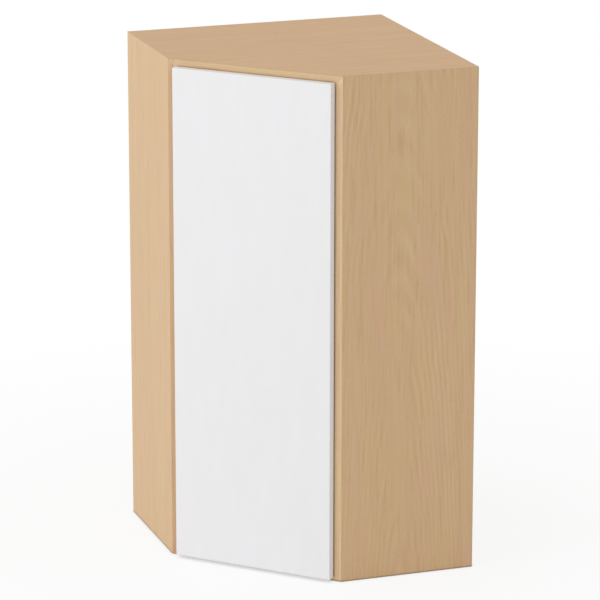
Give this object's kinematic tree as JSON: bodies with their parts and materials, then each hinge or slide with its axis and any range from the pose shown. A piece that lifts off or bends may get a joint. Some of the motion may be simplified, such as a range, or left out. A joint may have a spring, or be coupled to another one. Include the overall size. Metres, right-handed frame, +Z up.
{
  "type": "corner wall cabinet",
  "caption": "Diagonal-front corner wall cabinet: wood-effect carcass with two returns, white slab door on concealed hinges, loose shelves on pins and hanging rails.",
  "frame": {"origin": "centre of the closed cabinet's bounding box at the lower ends of the side panels", "axes": "+Z up; +Y towards the left wall, which lies along X behind the cabinet; +X towards the right wall, which lies along Y; the diagonal door faces -X -Y"},
  "size_m": [0.61, 0.6126, 1.143],
  "materials": {
    "carcass_veneer": "satin birch-effect veneer on particleboard",
    "beech_dowel": "raw beech",
    "white_lacquer": "satin white lacquer on fibreboard",
    "nickel_steel": "nickel-plated steel",
    "zinc_alloy": "zinc die-casting",
    "zinc_screw": "bright zinc-plated steel",
    "clear_rubber": "clear soft polyurethane"
  },
  "bodies": {
    "carcass": {"left_side_panel": "carcass_veneer", "right_side_panel": "carcass_veneer", "top_panel": "carcass_veneer", "bottom_panel": "carcass_veneer", "left_back_panel": "carcass_veneer", "right_back_panel": "carcass_veneer", "left_hanging_rail": "carcass_veneer", "right_hanging_rail": "carcass_veneer", "lower_shelf": "carcass_veneer", "middle_shelf": "carcass_veneer", "upper_shelf": "carcass_veneer", "shelf_pins": "nickel_steel", "joint_cams": "zinc_alloy", "cam_bolts": "zinc_screw", "wooden_dowels": "beech_dowel", "back_panel_screws": "zinc_screw", "hinge_arms": "nickel_steel", "hinge_plates": "nickel_steel", "hinge_plate_screws": "zinc_screw", "hinge_arm_screws": "zinc_screw"},
    "door": {"door_panel": "white_lacquer", "hinge_cups": "nickel_steel", "hinge_pins": "nickel_steel", "hinge_cup_screws": "zinc_screw", "door_buffers": "clear_rubber"}
  },
  "joints": [
    {"name": "door_hinge", "type": "hinge", "parent": "carcass", "child": "door", "pos_m": [-0.29224, -0.03397, 0.56], "axis": [0, 0, -1], "range_deg": [0, 95]}
  ]
}
